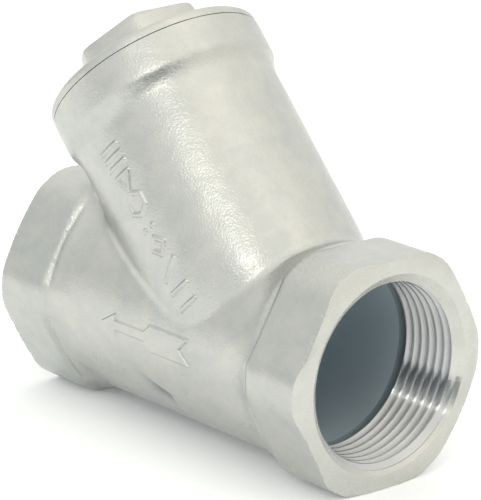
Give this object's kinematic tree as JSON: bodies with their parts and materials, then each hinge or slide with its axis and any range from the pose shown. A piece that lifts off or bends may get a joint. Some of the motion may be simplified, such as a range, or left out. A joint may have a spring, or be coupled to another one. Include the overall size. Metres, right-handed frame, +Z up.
{
  "type": "y strainer",
  "caption": "Cast Y strainer: threaded hexagonal sockets on a straight run and a slanted branch with a screwed cap over a removable perforated screen.",
  "frame": {"origin": "centre of the body's length and width, on the plane of the lower flats of the two hexagons", "axes": "+X along the run from the outlet to the inlet, against the flow; +Z up; the branch lies in the XZ plane and leans towards -X"},
  "size_m": [0.1, 0.0538, 0.0927],
  "materials": {
    "cast_stainless": "bead-blasted cast stainless steel, machined end faces and threads",
    "cast_stainless_cap": "bead-blasted cast stainless steel",
    "ptfe": "white PTFE sheet",
    "perforated_stainless": "rolled perforated stainless sheet"
  },
  "bodies": {
    "casting": {"body": "cast_stainless"},
    "seal": {"gasket": "ptfe"},
    "plug": {"cap": "cast_stainless_cap"},
    "basket": {"screen": "perforated_stainless"}
  },
  "joints": [
    {"name": "cap_rise", "type": "slide", "parent": "casting", "child": "seal", "axis": [-0.6884, 0, 0.7254], "range_m": [0, 0.09036]},
    {"name": "cap_turn", "type": "hinge", "parent": "seal", "child": "plug", "pos_m": [-0.02868, 0, 0.07578], "axis": [-0.6884, 0, 0.7254], "range_deg": [0, 16200]},
    {"name": "screen_draw", "type": "slide", "parent": "casting", "child": "basket", "axis": [-0.6884, 0, 0.7254], "range_m": [0, 0.06325]}
  ],
  "couplings": [
    {"joint": "cap_rise", "follows": "cap_turn", "m_per_rad": 0.00031831},
    {"joint": "screen_draw", "follows": "cap_turn", "m_per_rad": 0.00022282}
  ]
}
